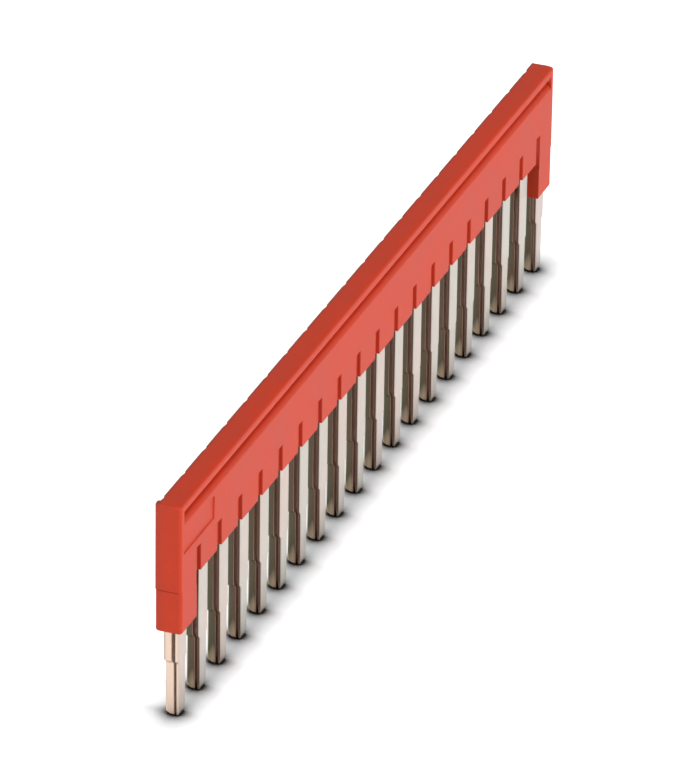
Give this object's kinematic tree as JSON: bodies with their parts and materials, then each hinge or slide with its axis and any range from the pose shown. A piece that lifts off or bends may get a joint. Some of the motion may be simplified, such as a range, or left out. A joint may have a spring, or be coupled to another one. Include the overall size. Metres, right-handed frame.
{
  "type": "terminal block jumper bar",
  "caption": "Red plug-in jumper bar: a thin moulded bar with short end legs that holds a comb of flat tinned blades for a row of terminal blocks.",
  "frame": {"origin": "on the plane of the blade tips, under the middle of the row and the middle of the housing's thickness", "axes": "+X along the row of blades, away from the label end; -Y is the front with the grip groove; +Z from the blade tips towards the grip edge"},
  "size_m": [0.1024, 0.0026, 0.0227],
  "materials": {
    "red_polyamide": "fine moulded grain, satin",
    "tinned_contact": "satin tin plating on copper",
    "tinned_spring": "satin tin plating on thin strip"
  },
  "bodies": {
    "root": {"housing": "red_polyamide", "contact_comb": "tinned_contact", "spring_comb": "tinned_spring"}
  },
  "joints": []
}
